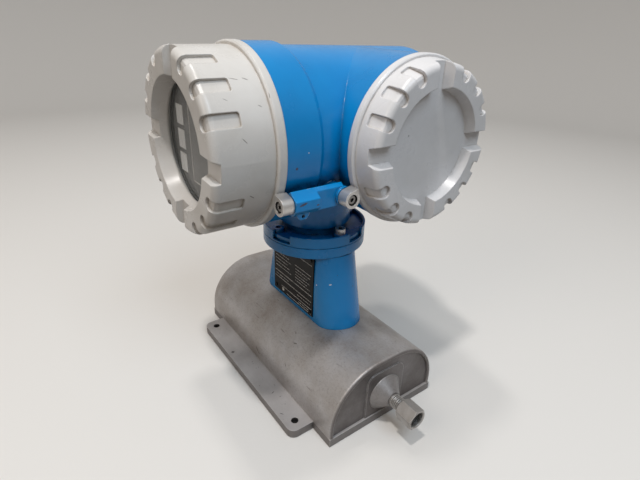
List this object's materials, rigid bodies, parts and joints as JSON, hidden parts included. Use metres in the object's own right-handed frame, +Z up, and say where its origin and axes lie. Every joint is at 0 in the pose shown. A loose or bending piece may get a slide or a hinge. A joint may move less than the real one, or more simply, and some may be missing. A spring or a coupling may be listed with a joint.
{
  "type": "coriolis mass flow meter",
  "caption": "Compact coriolis mass flow meter: half-round steel sensor on a drilled base, blue pedestal and a swivelling transmitter with screw-on display and terminal covers.",
  "frame": {"origin": "centre of the base plate's underside, under the pedestal's axis", "axes": "+X along the pipe towards the terminal cover's side, -Y towards the display, +Z up"},
  "size_m": [0.304, 0.2347, 0.3057],
  "materials": {
    "blue_paint": "satin gloss enamel, small chips",
    "cream_paint": "satin powder coat, scuffed",
    "casing_steel": "matte blasted stainless, stained",
    "base_steel": "matte stainless plate",
    "bright_steel": "turned stainless",
    "carrier_iron": "as cast",
    "coil_copper": "enamelled winding",
    "plate_black": "black print on plate",
    "seal_rubber": "matte",
    "window": "clear toughened",
    "dark_plastic": "fine grain",
    "screen": "dark glossy",
    "key_grey": "semi-gloss print",
    "board_green": "solder mask",
    "block_grey": "moulded",
    "gland_plastic": "moulded"
  },
  "bodies": {
    "sensor": {"base_plate": "base_steel", "sensor_casing": "casing_steel", "inlet_end_plate": "casing_steel", "outlet_end_plate": "casing_steel", "inlet_dome": "bright_steel", "outlet_dome": "bright_steel", "inlet_gland": "bright_steel", "outlet_gland": "bright_steel", "measuring_tube": "bright_steel", "tube_carrier": "carrier_iron", "drive_coil": "coil_copper", "pickup_coils": "coil_copper", "temperature_sensor": "bright_steel", "signal_feedthrough": "dark_plastic", "pedestal": "blue_paint", "nameplate": "plate_black", "nameplate_rivets": "bright_steel"},
    "inlet_coupling": {"inlet_nut": "bright_steel"},
    "outlet_coupling": {"outlet_nut": "bright_steel"},
    "bayonet_catch": {"bayonet_ring": "blue_paint"},
    "transmitter": {"transmitter_housing": "blue_paint", "neck_seal": "seal_rubber", "bell_screws": "bright_steel", "electronics_carrier": "dark_plastic", "circuit_boards": "board_green", "board_posts": "bright_steel", "terminal_plate": "dark_plastic", "terminal_block": "block_grey", "terminal_screws": "bright_steel", "claw_screws": "bright_steel", "cable_gland_bodies": "gland_plastic", "cable_gland_nuts": "gland_plastic", "cable_gland_inserts": "seal_rubber", "earth_screw": "bright_steel"},
    "display_unit": {"display_module": "dark_plastic", "display_screen": "screen", "touch_keys": "key_grey"},
    "display_thread": {"display_cover_seal": "seal_rubber"},
    "display_lid": {"display_cover": "cream_paint", "window_glass": "window", "window_retainer": "dark_plastic"},
    "terminal_thread": {"terminal_cover_seal": "seal_rubber"},
    "terminal_lid": {"terminal_cover": "cream_paint"},
    "front_catch": {"display_claw": "bright_steel"},
    "side_catch": {"terminal_claw": "bright_steel"}
  },
  "joints": [
    {"name": "inlet_nut_spin", "type": "hinge", "parent": "sensor", "child": "inlet_coupling", "pos_m": [-0.152, 0, 0.0284], "axis": [-1, 0, 0], "continuous": true},
    {"name": "outlet_nut_spin", "type": "hinge", "parent": "sensor", "child": "outlet_coupling", "pos_m": [0.152, 0, 0.0284], "axis": [1, 0, 0], "continuous": true},
    {"name": "bayonet_turn", "type": "hinge", "parent": "sensor", "child": "bayonet_catch", "pos_m": [0, 0, 0.1438], "axis": [0, 0, 1], "range_deg": [0, 20]},
    {"name": "transmitter_swivel", "type": "hinge", "parent": "sensor", "child": "transmitter", "pos_m": [0, 0, 0.1438], "axis": [0, 0, 1], "range_deg": [-180, 180]},
    {"name": "display_turn", "type": "hinge", "parent": "transmitter", "child": "display_unit", "pos_m": [0, -0.073, 0.2366], "axis": [0, -1, 0], "range_deg": [-180, 180]},
    {"name": "display_lid_travel", "type": "slide", "parent": "transmitter", "child": "display_thread", "axis": [0, -1, 0], "range_m": [0, 0.008]},
    {"name": "display_lid_turn", "type": "hinge", "parent": "display_thread", "child": "display_lid", "pos_m": [0, -0.073, 0.2366], "axis": [0, -1, 0], "range_deg": [0, 1440]},
    {"name": "terminal_lid_travel", "type": "slide", "parent": "transmitter", "child": "terminal_thread", "axis": [1, 0, 0], "range_m": [0, 0.008]},
    {"name": "terminal_lid_turn", "type": "hinge", "parent": "terminal_thread", "child": "terminal_lid", "pos_m": [0.075, 0.0376, 0.2366], "axis": [1, 0, 0], "range_deg": [0, 1440]},
    {"name": "display_claw_swing", "type": "hinge", "parent": "transmitter", "child": "front_catch", "pos_m": [0.07151, -0.073, 0.20521], "axis": [0, 1, 0], "range_deg": [0, 100]},
    {"name": "terminal_claw_swing", "type": "hinge", "parent": "transmitter", "child": "side_catch", "pos_m": [0.0772, -0.02881, 0.20464], "axis": [1, 0, 0], "range_deg": [0, 100]}
  ],
  "couplings": [
    {"joint": "display_lid_travel", "follows": "display_lid_turn", "m_per_rad": 0.00031831},
    {"joint": "terminal_lid_travel", "follows": "terminal_lid_turn", "m_per_rad": 0.00031831}
  ]
}
